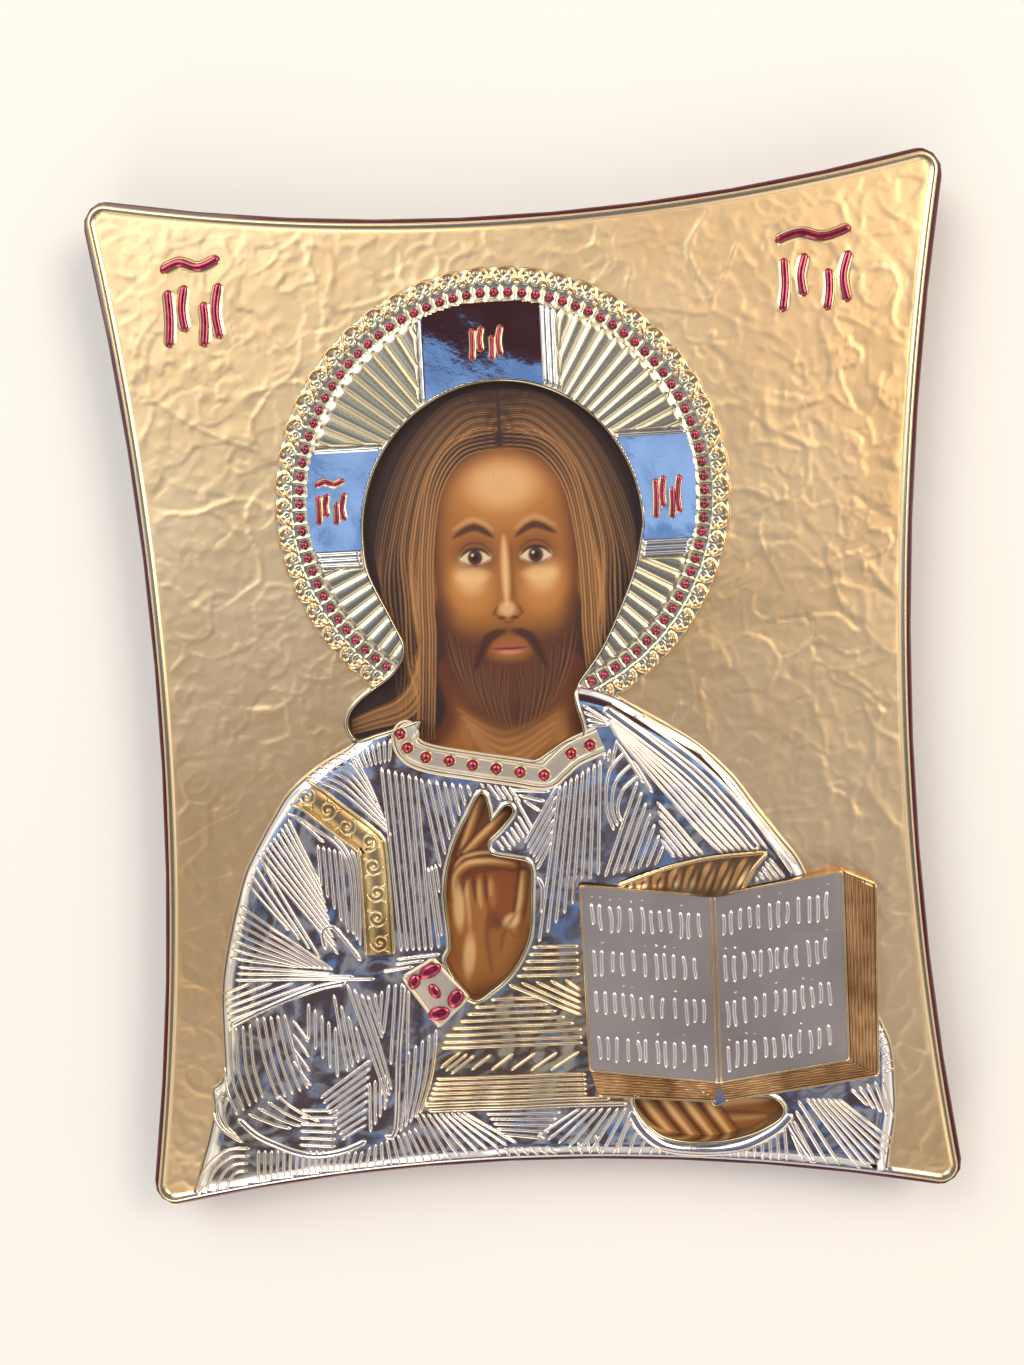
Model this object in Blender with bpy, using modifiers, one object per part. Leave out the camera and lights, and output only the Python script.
"""Icon panel: a painted wooden board with four hollow sides, dressed in one pressed metal cover.

The panel lies on its back: +Z comes out of its front, +Y runs up the picture, and the origin is in the
middle of its underside. Sizes are in metres. The figure, halo and book are drawn in millimetres from the
middle of the panel, with the figure DRAWN_HEIGHT tall, and scale from the middle of the lower side.
"""

import math

import bmesh
import bpy
import numpy as np
from mathutils import Vector
from mathutils.geometry import delaunay_2d_cdt

# Board: its sides are measured between the sharp corners that the round ones stand in for.
WIDTH = 0.200
HEIGHT = 0.245
SIDE_HOLLOW = 0.0106
END_HOLLOW = 0.0103
CORNER_RADIUS = 0.0055
BOARD_THICKNESS = 0.014
BOARD_EDGE = 0.0018

# Cover: a pressed sheet over the painted front, flat at the back.
COVER_GAP = 0.0003
COVER_INSET = 0.0014
GROUND = 0.0009
RIM_WIDTH = 0.0022
RIM_RISE = 0.0007

# Figure and what it carries, above the ground of the cover.
FIGURE_HEIGHT = 0.223
FIGURE_RISE = 0.0024
SHOULDER_WIDTH = 0.0048
FOLD_RISE = 0.0005
FOLD_WIDTH = 0.0013
FOLD_PITCH = 0.0044
COLLAR_RISE = 0.0006
COLLAR_WIDTH = 0.0046
COLLAR_BEADS = 10
CUFF_STONE_RADIUS = 0.0014
DRAFT = 0.0008
BAND_RISE = 0.0005
BAND_WIDTH = 0.0060
BOOK_RISE = 0.0040
BOOK_SPINE_DIP = 0.0009
BOOK_DRAFT = 0.0005
LEAVES_WIDTH = 0.0055
LEAVES_DROP = 0.0012
TURNED_RISE = 0.0010
WINDOW_ROLL = 0.0015
WINDOW_RISE = 0.0006

# Halo: rings are measured in from its outer edge.
HALO_RADIUS = 0.0533
HALO_RISE = 0.0008
HALO_STEP = 0.0006
LEAF_RING = 0.0043
LEAF_PITCH = 0.0066
LEAF_RISE = 0.0006
BEAD_RING = 0.0061
BEAD_PITCH = 0.0032
BEAD_RADIUS = 0.0011
BEAD_RISE = 0.0009
FLUTE_PITCH = 0.0041
FLUTE_RISE = 0.0005
HALO_SIDES = 48

# How fine the facets are.
BEAD_SIDES = 5
NET_STEP = 0.014
RUN_STEP = 0.0006
NEARNESS_MM = 0.03

MM = 0.001
DRAWN_HEIGHT = 223.0
DRAWN_MIDDLE = 122.5
SCALE = FIGURE_HEIGHT / (DRAWN_HEIGHT * MM)
HALO_CENTRE = (-4.4, 47.3)
HAIR_CENTRE = (-4.4, 40.0)
HAIR_RADII = (32.4, 34.3)

# The garment's left and right outlines, from the shoulders down past the lower side.
LEFT_OUTLINE = [
    (-25, 2), (-36, -2.5), (-43, -8.3), (-50, -12), (-58, -18), (-63, -25), (-68, -33), (-71.5, -40),
    (-76, -55), (-78.5, -68), (-79, -87), (-82.2, -91), (-82.5, -97), (-86, -109), (-89, -118), (-91, -126),
]
RIGHT_OUTLINE = [
    (81, -126), (81.2, -115), (83, -103), (83, -95), (82.5, -86), (80, -79), (74, -66), (66, -50), (62, -40),
    (57, -33), (52, -26), (47, -19), (40, -12), (33, -7), (25, -2), (20, 1), (13, 3.4), (4, 4),
]

# Windows over the painting. The hair's edge is half an ellipse, and the rest of each is a smooth curve.
NECK_WINDOW = [
    (28, 40), (25, 28), (18, 13), (11.5, 4), (10.5, 0), (12, -7.5), (8, -9), (4, -11.5), (0, -13.4),
    (-8, -12.5), (-22, -9.8), (-26.5, -7.5), (-25.6, -3), (-30, -4), (-36, -5.5), (-41.5, -6.6), (-43, -2.4),
    (-40, 2), (-31.5, 8), (-28.6, 14), (-30.7, 20), (-36, 32), (-36.8, 40),
]
HAND_WINDOW = [
    (-12.3, -21), (-15.5, -26), (-19.5, -34), (-21.8, -44), (-21.2, -57), (-22.4, -61.5), (-17, -70),
    (-12, -68), (-7, -63.5), (-3, -56), (-1.9, -46), (-1.8, -38.5), (-5, -37), (-10.6, -35.6), (-11.4, -32.4),
    (-8.5, -29.5), (-5.3, -25.6), (-6.6, -24.2), (-10.3, -28), (-11.1, -24),
]
LOWER_WINDOW = [
    (21, -96), (22.4, -100), (26.5, -104.6), (33, -106.7), (41, -106.8), (49, -104.8), (55, -101.6),
    (55.4, -98.6), (52, -96.6), (44, -97.2), (39.8, -98.6), (37.2, -95.6), (31, -94.2), (25, -94.6),
]

# Collar, from the tip on the left shoulder along the neckline, and the ornamented band on the sleeve.
COLLAR = [
    (-30.5, -3.2), (-29.3, -9), (-24, -12.2), (-14, -14.2), (-4, -16.2), (3.6, -17.5), (9, -12.6), (16, -9.7),
]
BAND = [(-58.5, -19.6), (-53.5, -19.8), (-39.6, -31.6), (-38.6, -36), (-38.4, -58.6)]
CUFF = [(-32.6, -64.6), (-25.2, -61.6), (-18.4, -70), (-25.4, -76.8)]
CUFF_STONES = [(-27, -63.9), (-26.1, -68.5), (-21.2, -71), (-25.2, -74.2), (-30.3, -66)]

# The open book: its pages, the edges of the leaves, and the turned page above them.
LEFT_PAGE = [(10, -43.5), (41, -47.3), (41, -92.5), (10.5, -88.2)]
RIGHT_PAGE = [(41, -47.3), (71, -42.5), (71.4, -87.5), (41, -92.5)]
FORE_EDGE = [(71, -42.5), (75, -43.4), (79, -47), (79, -90), (77.2, -92), (71.4, -87.5)]
LEFT_LEAVES = [(10.5, -88.2), (41, -92.5), (40, -96.8), (22, -95.6), (12.2, -94.6)]
RIGHT_LEAVES = [(41, -92.5), (71.4, -87.5), (77.2, -92), (57, -96), (41.8, -96.8)]
TURNED_PAGE = [
    (19, -44), (30, -40.5), (41, -38.3), (50, -37.2), (54, -37.7), (50.4, -41), (47.4, -45.6), (41, -46.9),
]

# Arms of the cross in the halo, each a flat plate between two bars: low corner and high corner.
CROSS_ARMS = [(-20.5, 76.0, 6.5, 91.0), (-49.0, 37.5, -38.5, 60.0), (29.5, 36.5, 40.0, 60.0)]

# Folds: each group is the first and the last line of a run, and the lines between are worked out.
FOLDS = [
    ([(-45, -10), (-41, -12.5), (-36.8, -22.5)], [(-54, -15), (-45.5, -19), (-34, -30)]),
    ([(-42, -9.5), (-40, -13)], [(-34, -7.5), (-34.5, -11)]),
    ([(-35.5, -14), (-33.3, -58)], [(-26.6, -16), (-24.4, -57.6)]),
    ([(-25, -17), (-21.6, -36)], [(-16.5, -18.5), (-15.8, -24)]),
    ([(-4.2, -24), (0.2, -33)], [(-9.4, -31), (-7.2, -35.4)]),
    ([(-8, -19), (-6, -23)], [(1, -21), (-1, -27)]),
    ([(5.6, -20.5), (-2.4, -33)], [(3.8, -33), (0.4, -39.5)]),
    ([(7, -18.4), (0, -57)], [(15.4, -14.6), (14, -41.5)]),
    ([(22, -12.5), (18, -17), (17, -25), (18.6, -31)], [(25, -18), (21, -21.5), (19.6, -26), (20.5, -29)]),
    ([(25, -20), (16.4, -41.5)], [(30, -35), (27.8, -39.6)]),
    ([(29.6, -33.5), (32.5, -38)], [(28.8, -24.5), (39.5, -38)]),
    ([(19, -6.6), (37.4, -34)], [(22, -8), (39, -32)]),
    ([(15.5, -0.8), (30, -11), (46, -27), (57.5, -43)], [(21.5, -7.5), (33, -16), (43, -27), (50, -37)]),
    ([(27.5, -5.5), (40, -14.5), (52, -28.5), (61, -43)], [(19, -3), (34, -13), (48, -28), (58, -43)]),
    ([(31, -17.5), (38, -27.5), (43.5, -37.3)], [(39.5, -28.5), (42, -33), (44.4, -37.4)]),
    (
        [(-56.5, -24.8), (-50.2, -31), (-45.2, -36), (-45, -53)],
        [(-60, -24), (-54, -27), (-51.8, -32), (-51.5, -41)],
    ),
    ([(-58.5, -26), (-51.7, -43)], [(-66.5, -34), (-48.5, -58)]),
    ([(-64.8, -36), (-53.5, -58)], [(-69.5, -41), (-61, -51)]),
    ([(-71.5, -46), (-52, -61)], [(-75, -58.5), (-58, -61)]),
    ([(-75, -62), (-40, -63.4)], [(-76, -73.5), (-50, -66)]),
    ([(-77, -76), (-77, -88), (-74.5, -97)], [(-71, -74.5), (-70.8, -85), (-69, -93)]),
    ([(-68, -73.5), (-66, -84), (-62.5, -93)], [(-64, -72.5), (-60.5, -82), (-57.5, -90)]),
    ([(-61, -74.5), (-57, -80)], [(-61, -84), (-57, -90)]),
    ([(-56, -71), (-55.5, -83)], [(-46, -68), (-43.8, -84)]),
    ([(-46, -66.5), (-41.5, -84), (-38.7, -95)], [(-42.5, -68), (-39.6, -77), (-38, -85)]),
    ([(-36.7, -66), (-38.4, -98)], [(-32, -63.6), (-34.6, -101)]),
    ([(-32.2, -82.5), (-33.6, -92), (-35.5, -102)], [(-26.2, -78), (-27.6, -88), (-31, -98)]),
    ([(-43, -91), (-43.2, -102.5)], [(-40, -90), (-40.2, -99)]),
    ([(-42.4, -85), (-55, -94)], [(-44.4, -100.5), (-51, -104)]),
    ([(-60, -96.5), (-50, -97)], [(-61, -106), (-52, -106.6)]),
    ([(-73, -97), (-67, -100.5), (-62.5, -102)], [(-65.5, -93), (-60.5, -96), (-57, -98)]),
    ([(-70, -107.5), (-71, -115)], [(-46, -106.5), (-47, -112)]),
    (
        [(-79.6, -90), (-81.2, -94), (-79.8, -99), (-75, -103)],
        [(-78, -94), (-78.4, -97), (-77.6, -99), (-76, -100)],
    ),
    (
        [(-73, -106), (-79, -106.6), (-84.4, -111), (-87, -117)],
        [(-74, -112), (-77, -112.4), (-79, -114), (-79.5, -116)],
    ),
    ([(-2, -58.8), (9, -58.8)], [(-5.6, -65), (9, -65)]),
    ([(-8, -67.5), (9, -75)], [(4.5, -66.6), (9, -69)]),
    ([(-13, -72), (-2, -72)], [(-23.5, -79), (9, -79)]),
    ([(-24, -82), (9, -82)], [(-28, -94), (9.5, -94)]),
    ([(-31.5, -98), (-26.5, -110)], [(-21, -97.5), (-9, -106)]),
    ([(8, -97.5), (-2.6, -104.5)], [(20, -98), (14.6, -110)]),
    ([(-8.5, -98.5), (1, -99.3)], [(-11, -101.8), (-1.6, -104)]),
    ([(22, -100.5), (18.3, -104), (16, -110.6)], [(26.5, -106.6), (24.5, -108.6), (24, -111)]),
    ([(28, -109), (27.6, -112)], [(56, -104.5), (57, -112)]),
    ([(57.4, -105), (61, -113)], [(60, -97.6), (69, -113)]),
    ([(63, -97), (75.5, -114)], [(70, -98.5), (82, -109)]),
    ([(72.5, -95.6), (76, -99.5)], [(79.5, -94), (81.6, -102)]),
]

# Rows of strokes that stand for writing: low left corner, high right corner of each sign group.
SIGN_GROUPS = [(-79, 88, -68, 100), (62, 86, 77, 99)]
CROSS_SIGNS = [(-9.5, 79, -2.5, 88), (-47.5, 43.5, -40.5, 52.5), (31.4, 41.5, 37, 51)]
PAGE_ROWS = 4
PAGE_STROKES = 4

# Scrolls of the sleeve's band: curls that turn to one side and the other by turns.
CURL_PITCH = 0.0052
CURL_RADIUS = 0.0016
CURL_WIDTH = 0.0009
CURL_POINTS = 6


def to_metres(points):
    """Drawn places in millimetres, as an array of metres in the panel's frame."""
    drawn = np.asarray(points, float).reshape(-1, 2)
    across = drawn[:, 0] * MM * SCALE
    up = (drawn[:, 1] + DRAWN_MIDDLE) * MM * SCALE - HEIGHT / 2
    return np.column_stack([across, up])


def smooth(points, step, closed=True):
    """A Catmull-Rom curve through the points, with a point about every step along it."""
    points = np.asarray(points, float)
    count = len(points)
    found = []
    for at in range(count if closed else count - 1):
        if closed:
            a, b, c, d = (points[(at + shift) % count] for shift in (-1, 0, 1, 2))
        else:
            a, b, c, d = (points[min(max(at + shift, 0), count - 1)] for shift in (-1, 0, 1, 2))
        pieces = max(1, round(float(np.linalg.norm(c - b)) / step))
        for share in np.arange(pieces) / pieces:
            slope = (c - a) * share + (2 * a - 5 * b + 4 * c - d) * share**2
            found.append(b + 0.5 * (slope + (3 * b - 3 * c + d - a) * share**3))
    if not closed:
        found.append(points[-1])
    return np.array(found)


def hollow_outline(inset, arc_steps=9, corner_steps=4):
    """The panel's outline moved in by inset: four arcs that curve in, joined by round corners."""
    corners = []
    for hollow, half, reach in ((SIDE_HOLLOW, HEIGHT / 2, WIDTH / 2), (END_HOLLOW, WIDTH / 2, HEIGHT / 2)):
        radius = (half**2 + hollow**2) / (2 * hollow)
        corners.append((radius, reach - hollow + radius))
    (side_radius, side_centre), (end_radius, end_centre) = corners
    round_radius = CORNER_RADIUS - inset
    side_reach, end_reach = side_radius + CORNER_RADIUS, end_radius + CORNER_RADIUS
    middle = round_centre(side_centre, side_reach, end_centre, end_reach)
    side_angle = math.atan2(middle[1], side_centre - middle[0])
    end_angle = math.atan2(middle[0], end_centre - middle[1])
    side = [
        (side_centre - (side_radius + inset) * math.cos(turn), (side_radius + inset) * math.sin(turn))
        for turn in np.linspace(-side_angle, side_angle, arc_steps + 1)
    ]
    corner = [
        (middle[0] + round_radius * math.cos(turn), middle[1] + round_radius * math.sin(turn))
        for turn in np.linspace(-side_angle, math.pi / 2 + end_angle, corner_steps + 1)[1:-1]
    ]
    end = [
        ((end_radius + inset) * math.sin(turn), end_centre - (end_radius + inset) * math.cos(turn))
        for turn in np.linspace(end_angle, -end_angle, arc_steps + 1)
    ]
    half = side + corner + end + [(-x, y) for x, y in reversed(corner)]
    return np.array(half + [(-x, -y) for x, y in half])


def round_centre(side_centre, side_reach, end_centre, end_reach):
    """Where a corner's round sits: as far outside both arcs as its own radius."""
    x, y = WIDTH / 2, HEIGHT / 2
    for _ in range(60):
        x = side_centre - math.sqrt(side_reach**2 - y**2)
        y = end_centre - math.sqrt(end_reach**2 - x**2)
    return x, y


def distance_to(places, line, closed):
    """How far each place is from the nearest point of a line of points."""
    line = np.asarray(line, float)
    ends = np.roll(line, -1, axis=0) if closed else line[1:]
    starts = line if closed else line[:-1]
    nearest = np.full(len(places), np.inf)
    for start, end in zip(starts, ends):
        along = end - start
        share = ((places - start) @ along) / max(float(along @ along), 1e-18)
        gap = places - start - np.clip(share, 0, 1)[:, None] * along
        nearest = np.minimum(nearest, np.hypot(gap[:, 0], gap[:, 1]))
    return nearest


def inside(places, loop):
    """Whether each place is inside a closed loop of points."""
    x, y = places[:, 0], places[:, 1]
    found = np.zeros(len(places), bool)
    for (x0, y0), (x1, y1) in zip(loop, np.roll(loop, -1, axis=0)):
        if y0 == y1:
            continue
        crosses = (y0 > y) != (y1 > y)
        found ^= crosses & (x < x0 + (y - y0) * (x1 - x0) / (y1 - y0))
    return found


def depth_in(places, loop):
    """Distance from the loop, positive inside it and negative outside."""
    return distance_to(places, loop, True) * np.where(inside(places, loop), 1, -1)


def moved(loop, distance):
    """The loop with each point moved outwards by distance, or inwards where it is negative."""
    before = loop - np.roll(loop, 1, axis=0)
    after = np.roll(loop, -1, axis=0) - loop
    along = before / np.linalg.norm(before, axis=1)[:, None] + after / np.linalg.norm(after, axis=1)[:, None]
    along /= np.maximum(np.linalg.norm(along, axis=1)[:, None], 1e-9)
    area = np.sum(loop[:, 0] * np.roll(loop[:, 1], -1) - loop[:, 1] * np.roll(loop[:, 0], -1))
    outwards = np.column_stack([along[:, 1], -along[:, 0]]) * math.copysign(1, area)
    shifted = loop + outwards * distance
    return shifted[distance_to(shifted, loop, True) > abs(distance) * 0.9]


def ring(centre, radius, count, start=0.0):
    turns = start + np.arange(count) * 2 * math.pi / count
    return centre + radius * np.column_stack([np.cos(turns), np.sin(turns)])


def line_length(line):
    return float(np.linalg.norm(np.diff(line, axis=0), axis=1).sum())


def points_along(line, places):
    """The points at these distances along an open line."""
    lengths = np.append(0, np.cumsum(np.linalg.norm(np.diff(line, axis=0), axis=1)))
    return np.column_stack([np.interp(places, lengths, line[:, axis]) for axis in (0, 1)])


def ramp(depth, width):
    """0 at the edge and 1 from width inwards, in a straight line."""
    return np.clip(depth / width, 0, 1)


def rounded(depth, width):
    """0 at the edge and 1 from width inwards, along a quarter of a circle."""
    return np.sqrt(np.maximum(0, 1 - (1 - ramp(depth, width)) ** 2))


def box_corners(low_x, low_y, high_x, high_y):
    return to_metres([(low_x, low_y), (high_x, low_y), (high_x, high_y), (low_x, high_y)])


def sign_strokes(box):
    """Upright dashes of unlike length in a box with a bar over them, in the place of letters."""
    low_x, low_y, high_x, high_y = box
    wide, tall = high_x - low_x, high_y - low_y
    strokes = []
    for across, low, high in ((0.04, 0.0, 0.86), (0.36, 0.3, 1.0), (0.68, 0.0, 0.7), (1.0, 0.14, 1.0)):
        foot = low_x + wide * across
        strokes.append([(foot, low_y + tall * low), (foot + wide * 0.05, low_y + tall * high)])
    strokes.append([(low_x, high_y + tall * 0.24), (high_x, high_y + tall * 0.3)])
    return strokes


def page_strokes(page, seed):
    """Rows of short strokes that follow the slant of a page."""
    top_left, top_right, foot_right, foot_left = (np.array(point) for point in page)
    strokes = []
    for row in range(PAGE_ROWS):
        for at in range(PAGE_STROKES):
            across = (at + 0.9) / (PAGE_STROKES + 0.8)
            top = 0.1 + row / (PAGE_ROWS + 0.15)
            foot = top + (0.15 if (at + row + seed) % 3 else 0.11)
            lean = 0.025 * ((at + 2 * row + seed) % 3 - 1)
            ends = []
            for down, shift in ((top, 0), (foot, lean)):
                left = top_left + (foot_left - top_left) * down
                right = top_right + (foot_right - top_right) * down
                ends.append(tuple(left + (right - left) * (across + shift)))
            strokes.append(ends)
    return strokes


class Relief:
    """Where each feature of the cover lies, and how high the front stands at any place."""

    def __init__(self):
        self.edge = hollow_outline(COVER_INSET)
        self.figure = to_metres(smooth(LEFT_OUTLINE + RIGHT_OUTLINE, 7.0))
        self.halo_centre = to_metres([HALO_CENTRE])[0]
        turns = np.linspace(0, math.pi, 20)[1:-1]
        across, up = HAIR_RADII
        hair = [(HAIR_CENTRE[0] + across * math.cos(t), HAIR_CENTRE[1] + up * math.sin(t)) for t in turns]
        neck = smooth(NECK_WINDOW, 4.0, closed=False)
        self.windows = [to_metres(np.vstack([hair[::-1], neck]))]
        self.windows += [to_metres(smooth(outline, 3.0)) for outline in (HAND_WINDOW, LOWER_WINDOW)]
        self.collar = to_metres(smooth(COLLAR, 4.0, closed=False))
        self.band = to_metres(BAND)
        self.cuff = to_metres(CUFF)
        self.pages = [to_metres(page) for page in (LEFT_PAGE, RIGHT_PAGE)]
        self.leaves = [to_metres(side) for side in (FORE_EDGE, LEFT_LEAVES, RIGHT_LEAVES)]
        self.turned = to_metres(TURNED_PAGE)
        self.spine = self.pages[0][1, 0]
        self.page_width = self.pages[1][1, 0] - self.spine
        self.arms = [box_corners(*arm) for arm in CROSS_ARMS]
        self.crests = self.all_crests()
        self.stones, self.stone_radii = self.all_stones()
        self.leaf_tips = self.all_leaves()

    def halo_radius_at(self, places):
        away = places - self.halo_centre
        return np.hypot(away[:, 0], away[:, 1])

    def on_halo(self, places, margin):
        clear = inside(places, self.figure) | (self.halo_radius_at(places) > HALO_RADIUS - margin)
        for window in self.windows:
            clear |= depth_in(places, window) > -margin
        return ~clear

    def on_garment(self, places, margin):
        keep = depth_in(places, self.figure) > margin
        keep &= depth_in(places, self.edge) > RIM_WIDTH + margin
        for loop in self.windows:
            keep &= depth_in(places, loop) < -WINDOW_ROLL - margin
        for loop in self.pages + self.leaves + [self.turned, self.cuff]:
            keep &= depth_in(places, loop) < -margin
        keep &= distance_to(places, self.collar, False) > COLLAR_WIDTH / 2 + margin
        return keep & (distance_to(places, self.band, False) > BAND_WIDTH / 2 + margin)

    def all_crests(self):
        """The top line of each fold, flute and stroke, with the width and rise that it has."""
        found = []
        for first, last in FOLDS:
            first, last = to_metres(first), to_metres(last)
            apart = np.linalg.norm(first - last, axis=1).mean()
            count = max(2, 1 + round(apart / FOLD_PITCH))
            for share in np.linspace(0, 1, count):
                line = self.longest_run(first + (last - first) * share, self.on_garment, FOLD_WIDTH / 2)
                if line is not None:
                    found.append((line, FOLD_WIDTH, FOLD_RISE))
        found += self.flutes()
        for box in SIGN_GROUPS + CROSS_SIGNS:
            for stroke in sign_strokes(box):
                found.append((to_metres(stroke), FOLD_WIDTH * 0.8, FOLD_RISE))
        found += [(curl, CURL_WIDTH, FOLD_RISE) for curl in self.curls()]
        for seed, page in enumerate((LEFT_PAGE, RIGHT_PAGE)):
            for stroke in page_strokes(page, seed):
                found.append((to_metres(stroke), FOLD_WIDTH * 0.6, FOLD_RISE * 0.6))
        return found

    def flutes(self):
        """Round ridges that run out from the head to the beads, between the arms of the cross."""
        outer = HALO_RADIUS - BEAD_RING - BEAD_RADIUS * 2.2
        count = round(2 * math.pi * outer / FLUTE_PITCH)
        found = []
        for turn in np.arange(count) * 2 * math.pi / count:
            way = np.array([math.cos(turn), math.sin(turn)])
            line = self.halo_centre + np.outer([outer * 0.5, outer], way)
            line = self.longest_run(line, self.between_arms, WINDOW_ROLL * 1.6)
            if line is not None:
                found.append((line, FLUTE_PITCH * 0.62, FLUTE_RISE))
        return found

    def between_arms(self, places, margin):
        keep = self.on_halo(places, margin)
        for arm in self.arms:
            keep &= depth_in(places, arm) < -margin
        return keep

    def curls(self):
        """A row of curls along the band, each a part of a circle, set to one side and the other by turns."""
        whole = line_length(self.band)
        count = int(whole / CURL_PITCH)
        found = []
        for at in range(count):
            here = (at + 0.6) * whole / count
            centre, ahead = points_along(self.band, [here, here + MM])
            heading = math.atan2(*(ahead - centre)[::-1])
            side = 1 if at % 2 else -1
            turns = heading + side * np.linspace(-0.2, 1.45, CURL_POINTS) * math.pi
            radii = CURL_RADIUS * np.linspace(1.0, 0.62, CURL_POINTS)
            found.append(centre + radii[:, None] * np.column_stack([np.cos(turns), np.sin(turns)]))
        return found

    def longest_run(self, line, test, margin):
        """The longest stretch of a line whose places all pass the test, or None where it is short."""
        places, knots = [], [0]
        for start, end in zip(line, line[1:]):
            steps = max(1, round(float(np.linalg.norm(end - start)) / RUN_STEP))
            places.append(start + np.outer(np.linspace(0, 1, steps + 1), end - start))
            knots.append(knots[-1] + steps + 1)
        places = np.vstack(places)
        good = test(places, margin)
        best, start = (0, 0), None
        for at, keep in enumerate(list(good) + [False]):
            if keep and start is None:
                start = at
            if not keep and start is not None:
                best = max(best, (at - start, start))
                start = None
        if best[0] < 5:
            return None
        low, high = best[1], best[1] + best[0] - 1
        inner = [knot for knot in knots[1:-1] if low + 2 < knot < high - 2]
        return places[[low] + inner + [high]]

    def all_stones(self):
        """Middle and radius of each bead: the halo's ring, the collar's row and the cuff's stones."""
        radius = HALO_RADIUS - BEAD_RING
        count = round(2 * math.pi * radius / BEAD_PITCH)
        beads = ring(self.halo_centre, radius, count)
        beads = beads[self.on_halo(beads, BEAD_RADIUS * 1.1)]
        spacing = line_length(self.collar) / (COLLAR_BEADS + 0.6)
        collar = points_along(self.collar, np.arange(1, COLLAR_BEADS + 1) * spacing)
        stones = np.vstack([beads, collar, to_metres(CUFF_STONES)])
        radii = np.full(len(stones), BEAD_RADIUS)
        radii[-len(CUFF_STONES) :] = CUFF_STONE_RADIUS
        return stones, radii

    def all_leaves(self):
        """Each leaf of the halo's border, as its four points and its raised middle."""
        middle = HALO_RADIUS - HALO_STEP - (LEAF_RING - HALO_STEP) / 2
        count = round(2 * math.pi * middle / LEAF_PITCH)
        found = []
        for turn in np.arange(count) * 2 * math.pi / count:
            out = np.array([math.cos(turn), math.sin(turn)])
            side = np.array([-out[1], out[0]])
            centre = self.halo_centre + out * middle
            if self.on_halo(centre[None], HALO_STEP)[0]:
                long, wide = out * LEAF_RING * 0.42, side * LEAF_PITCH * 0.44
                found.append((centre, centre + np.array([long, wide, -long, -wide])))
        return found

    def height(self, places):
        """How high the cover's front stands above its flat back."""
        tall = np.full(len(places), GROUND)
        away = self.halo_radius_at(places)
        tall += HALO_RISE * ramp(HALO_RADIUS - away, HALO_STEP)
        for centre, tips in self.leaf_tips:
            near = np.linalg.norm(places - centre, axis=1) < LEAF_PITCH
            rise = ramp(depth_in(places[near], tips), LEAF_RING * 0.3) * LEAF_RISE
            tall[near] += rise
        body = rounded(depth_in(places, self.figure), SHOULDER_WIDTH)
        tall = np.maximum(tall, GROUND + FIGURE_RISE * body)
        book = np.full(len(places), -1.0)
        for loop in self.pages:
            dip = BOOK_SPINE_DIP * (1 - ramp(np.abs(places[:, 0] - self.spine), self.page_width))
            book = np.where(depth_in(places, loop) > -1e-7, np.maximum(book, BOOK_RISE - dip), book)
        for loop in self.leaves:
            drop = ramp(self.page_distance(places), LEAVES_WIDTH) * LEAVES_DROP
            book = np.where(depth_in(places, loop) > -1e-7, np.maximum(book, BOOK_RISE - drop), book)
        turned = rounded(depth_in(places, self.turned), DRAFT) * TURNED_RISE
        turned = np.where(depth_in(places, self.turned) > 0, GROUND + FIGURE_RISE + turned, 0)
        tall = np.maximum(tall, turned)
        tall = np.where(book > 0, np.maximum(tall, GROUND + book), tall)
        tall += COLLAR_RISE * ramp(COLLAR_WIDTH / 2 - distance_to(places, self.collar, False), DRAFT)
        tall += BAND_RISE * ramp(BAND_WIDTH / 2 - distance_to(places, self.band, False), DRAFT)
        tall += COLLAR_RISE * ramp(depth_in(places, self.cuff), DRAFT)
        for arm in self.arms:
            tall += FLUTE_RISE * ramp(DRAFT - np.abs(depth_in(places, arm)), DRAFT)
        for line, width, rise in self.crests:
            reach = np.ptp(line, axis=0).sum() + width
            near = np.linalg.norm(places - line.mean(axis=0), axis=1) < reach
            tall[near] += rise * ramp(width / 2 - distance_to(places[near], line, False), width / 2)
        gaps = np.linalg.norm(places[:, None, :] - self.stones[None], axis=2)
        nearest = gaps.argmin(axis=1)
        closeness = 1 - ramp(gaps.min(axis=1), self.stone_radii[nearest])
        tall += BEAD_RISE * closeness
        for window in self.windows:
            out = -depth_in(places, window)
            tall += WINDOW_RISE * ramp(WINDOW_ROLL / 2 - np.abs(out - WINDOW_ROLL / 2), WINDOW_ROLL / 2)
        depth = depth_in(places, self.edge)
        limit = GROUND + RIM_RISE * ramp(depth, RIM_WIDTH * 0.3)
        tall = np.where(depth < RIM_WIDTH * 0.31, limit, tall)
        return np.maximum(tall, GROUND)

    def page_distance(self, places):
        """How far each place is outside both pages."""
        return np.min([np.maximum(-depth_in(places, page), 0) for page in self.pages], axis=0)

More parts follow.
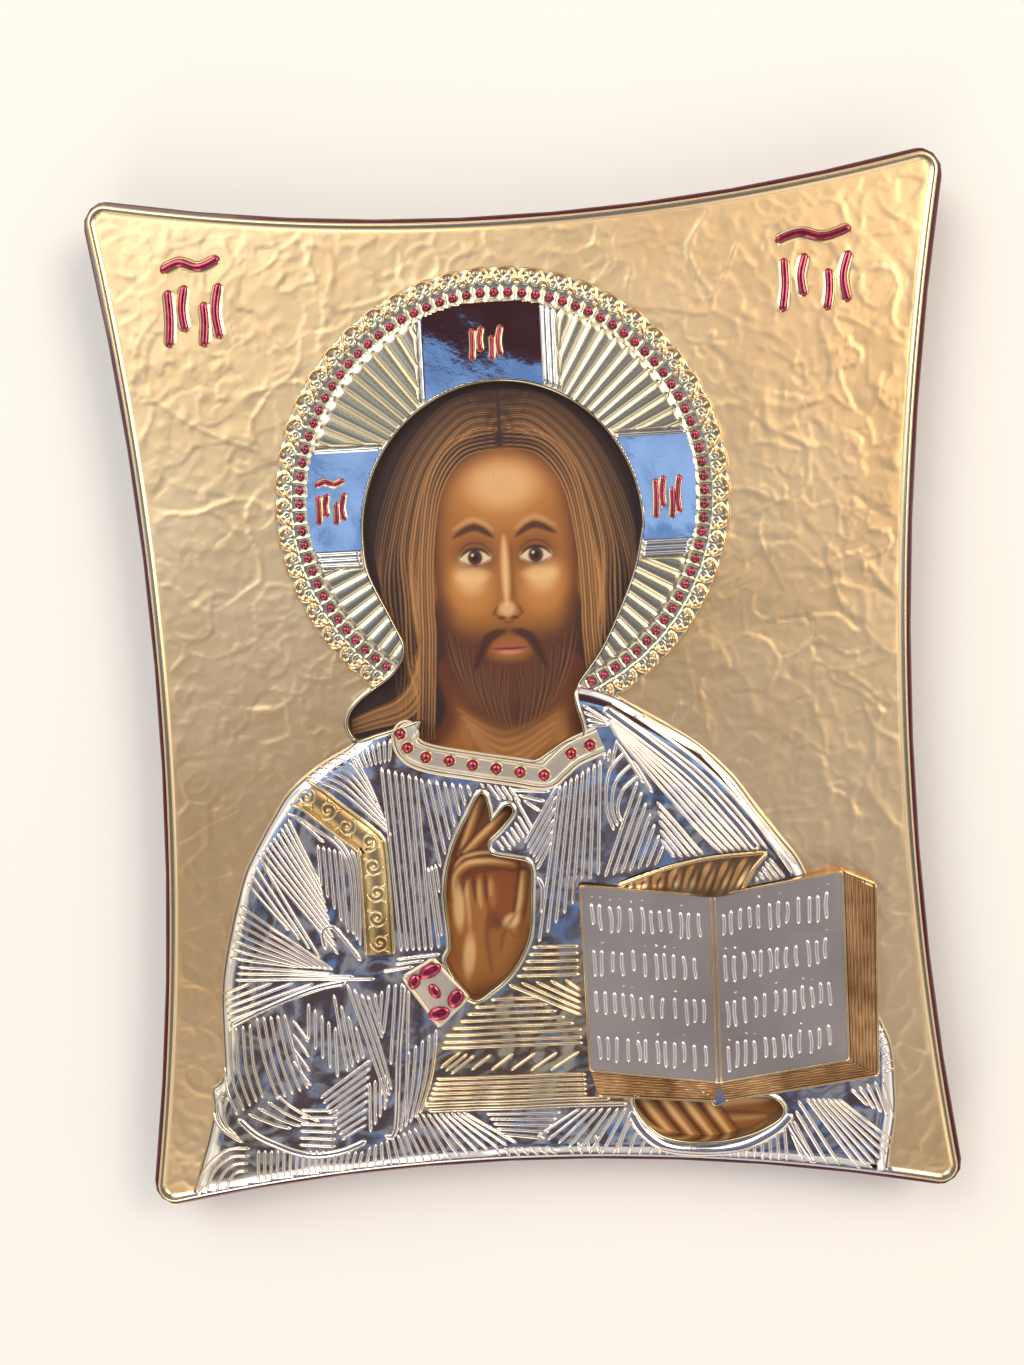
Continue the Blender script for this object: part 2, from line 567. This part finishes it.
    def lines(self):
        """Every line that the front's facets keep: closed loops, and open lines with False beside them."""
        found = [(moved(self.edge, -RIM_WIDTH * share), True) for share in (0.3, 0.999)]
        found += [(self.figure, True)]
        found += [(moved(self.figure, -SHOULDER_WIDTH * share), True) for share in (0.25, 1.0)]
        for window in self.windows:
            found += [(moved(window, WINDOW_ROLL * share), True) for share in (0.5, 1.0)]
        for radius in (HALO_RADIUS, HALO_RADIUS - HALO_STEP, HALO_RADIUS - LEAF_RING):
            found.append((ring(self.halo_centre, radius, HALO_SIDES), True))
        for loop in self.pages + self.leaves:
            found.append((loop, True))
        top = [LEFT_PAGE[0], LEFT_PAGE[1], RIGHT_PAGE[1]]
        outer = to_metres([*top, *FORE_EDGE[1:5], *RIGHT_LEAVES[3:], *LEFT_LEAVES[2:]])
        found.append((moved(outer, BOOK_DRAFT), True))
        found += [(self.turned, True), (moved(self.turned, -DRAFT), True)]
        for line, width, _ in self.crests:
            found += ridge_lines(line, width)
        for line, wide in ((self.collar, COLLAR_WIDTH), (self.band, BAND_WIDTH)):
            for reach in (-wide / 2, DRAFT - wide / 2, wide / 2 - DRAFT, wide / 2):
                found.append((beside(line, reach), False))
        found += [(self.cuff, True), (moved(self.cuff, -DRAFT), True)]
        for arm in self.arms:
            found += [(arm, True), (moved(arm, DRAFT), True), (moved(arm, -DRAFT), True)]
        for centre, radius in zip(self.stones, self.stone_radii):
            found.append((ring(centre, radius, BEAD_SIDES), True))
        for _, tips in self.leaf_tips:
            found.append((tips, True))
        return found

    def centres(self):
        """Single places that the facets meet at: the tops of beads and leaves, and a net over the garment."""
        net = []
        low, high = self.figure.min(axis=0), self.figure.max(axis=0)
        step = NET_STEP
        for row, y in enumerate(np.arange(low[1], high[1], step * 0.87)):
            for x in np.arange(low[0] + (row % 2) * step / 2, high[0], step):
                net.append((x, y))
        net = np.array(net)
        net = net[self.on_garment(net, NET_STEP * 0.15)]
        leaves = np.array([centre for centre, _ in self.leaf_tips])
        return np.vstack([net, self.stones, leaves])


def beside(line, distance):
    """An open line moved sideways by distance."""
    along = np.gradient(line, axis=0)
    along /= np.linalg.norm(along, axis=1)[:, None]
    return line + np.column_stack([-along[:, 1], along[:, 0]]) * distance


def ridge_lines(line, width):
    """The crest of a ridge and the loop round its foot, which comes to a point at both ends."""
    start = (line[1] - line[0]) / np.linalg.norm(line[1] - line[0]) * width / 2
    end = (line[-1] - line[-2]) / np.linalg.norm(line[-1] - line[-2]) * width / 2
    left, right = beside(line, width / 2), beside(line, -width / 2)
    foot = np.vstack([[line[0] - start], left, [line[-1] + end], right[::-1]])
    return [(line, False), (foot, True)]


def triangulate(points, edges, fences, kept, nearness):
    """Triangles over the points that keep the edges, in the areas between fences that the kept test passes.

    The first edges are the fences. Each triangle also comes with the input point that each corner stands for.
    """
    vectors = [Vector(point) for point in points / MM]
    found, lines, faces, origins, line_origins, _ = delaunay_2d_cdt(vectors, edges, [], 0, nearness, True)
    found = np.array([tuple(point) for point in found]) * MM
    fenced = {frozenset(line) for line, ids in zip(lines, line_origins) if any(at < fences for at in ids)}
    across = {}
    for at, face in enumerate(faces):
        for pair in zip(face, face[1:] + face[:1]):
            across.setdefault(frozenset(pair), []).append(at)
    area_of = {}
    chosen = []
    for first in range(len(faces)):
        if first in area_of:
            continue
        area_of[first] = first
        waiting, area = [first], []
        while waiting:
            at = waiting.pop()
            area.append(at)
            face = faces[at]
            for pair in map(frozenset, zip(face, face[1:] + face[:1])):
                for other in across[pair]:
                    if pair not in fenced and other not in area_of:
                        area_of[other] = first
                        waiting.append(other)
        sizes = [triangle_area(found[list(faces[at])]) for at in area]
        largest = area[int(np.argmax(sizes))]
        if kept(found[list(faces[largest])].mean(axis=0)[None])[0]:
            chosen += area
    return found, [list(faces[at]) for at in sorted(chosen)], origins


def triangle_area(corners):
    (ax, ay), (bx, by) = corners[1] - corners[0], corners[2] - corners[0]
    return abs(ax * by - ay * bx) / 2


def cover_mesh(relief):
    """The cover as one closed mesh: facets over the front, walls at each edge, and a flat back."""
    points, edges, count = [], [], 0
    fixed = [(relief.edge, True)] + [(window, True) for window in relief.windows]
    for line, closed in fixed + relief.lines():
        points.append(line)
        edges += [(count + at, count + at + 1) for at in range(len(line) - 1)]
        if closed:
            edges.append((count + len(line) - 1, count))
        count += len(line)
    points.append(relief.centres())
    fences = sum(len(line) for line, _ in fixed)

    def on_sheet(places):
        keep = inside(places, relief.edge)
        for window in relief.windows:
            keep &= ~inside(places, window)
        return keep

    flat, faces, _ = triangulate(np.vstack(points), edges, fences, on_sheet, NEARNESS_MM)
    heights = relief.height(flat)
    shape = bmesh.new()
    base = BOARD_THICKNESS + COVER_GAP
    used = sorted({at for face in faces for at in face})
    tops = {at: shape.verts.new((*flat[at], base + heights[at])) for at in used}
    for face in faces:
        shape.faces.new([tops[at] for at in face])
    rims = [edge for edge in shape.edges if edge.is_boundary]
    feet = {}
    for edge in rims:
        for top in edge.verts:
            if top not in feet:
                feet[top] = shape.verts.new((top.co.x, top.co.y, base))
    walls = []
    for edge in rims:
        start = edge.link_loops[0].vert
        end = edge.other_vert(start)
        walls.append(shape.faces.new((end, start, feet[start], feet[end])))
    close_back(shape, feet, rims, on_sheet)
    bmesh.ops.triangulate(shape, faces=walls)
    mesh = bpy.data.meshes.new("cover")
    shape.to_mesh(mesh)
    shape.free()
    return mesh


def close_back(shape, feet, rims, on_sheet):
    """Fills the flat back between the outer edge and the windows."""
    verts = list(feet.values())
    index = {vert: at for at, vert in enumerate(verts)}
    flat = np.array([(vert.co.x, vert.co.y) for vert in verts])
    edges = [tuple(index[feet[top]] for top in edge.verts) for edge in rims]
    _, faces, origins = triangulate(flat, edges, len(edges), on_sheet, 1e-6)
    for face in faces:
        shape.faces.new([verts[origins[at][0]] for at in reversed(face)])


def principled(name, colour, metallic, roughness):
    material = bpy.data.materials.new(name)
    material.use_nodes = True
    shader = material.node_tree.nodes["Principled BSDF"]
    shader.inputs["Base Color"].default_value = (*colour, 1)
    shader.inputs["Metallic"].default_value = metallic
    shader.inputs["Roughness"].default_value = roughness
    return material


def make_board(collection):
    """The board: its outline as a filled curve, made a mesh, with its edges rounded."""
    curve = bpy.data.curves.new("board_outline", "CURVE")
    curve.dimensions = "2D"
    curve.fill_mode = "BOTH"
    curve.extrude = BOARD_THICKNESS / 2
    outline = hollow_outline(0.0)
    spline = curve.splines.new("POLY")
    spline.points.add(len(outline) - 1)
    for point, (x, y) in zip(spline.points, outline):
        point.co = (x, y, 0, 1)
    spline.use_cyclic_u = True
    drawn = bpy.data.objects.new("board_outline", curve)
    collection.objects.link(drawn)
    drawn.location.z = BOARD_THICKNESS / 2
    bpy.context.view_layer.update()
    mesh = bpy.data.meshes.new_from_object(drawn.evaluated_get(bpy.context.evaluated_depsgraph_get()))
    mesh.name = "board"
    board = bpy.data.objects.new("board", mesh)
    board.matrix_world = drawn.matrix_world.copy()
    bpy.data.objects.remove(drawn)
    collection.objects.link(board)
    shape = bmesh.new()
    shape.from_mesh(mesh)
    bmesh.ops.remove_doubles(shape, verts=shape.verts, dist=1e-6)
    shape.to_mesh(mesh)
    shape.free()
    mesh.materials.clear()
    mesh.materials.append(principled("dark_red_lacquered_wood", (0.09, 0.014, 0.016), 0.0, 0.22))
    mesh.shade_smooth()
    mesh.set_sharp_from_angle(angle=math.radians(40))
    bevel = board.modifiers.new("rounded_edges", "BEVEL")
    bevel.width = BOARD_EDGE
    bevel.segments = 2
    bevel.limit_method = "ANGLE"
    bevel.angle_limit = math.radians(60)


def make_cover(collection):
    mesh = cover_mesh(Relief())
    mesh.materials.append(principled("plated_pressed_metal", (0.80, 0.74, 0.60), 1.0, 0.25))
    mesh.shade_smooth()
    mesh.set_sharp_from_angle(angle=math.radians(35))
    collection.objects.link(bpy.data.objects.new("cover", mesh))


def main():
    for old in list(bpy.data.objects):
        bpy.data.objects.remove(old)
    collection = bpy.data.collections.new("icon_panel")
    bpy.context.scene.collection.children.link(collection)
    make_board(collection)
    make_cover(collection)


main()
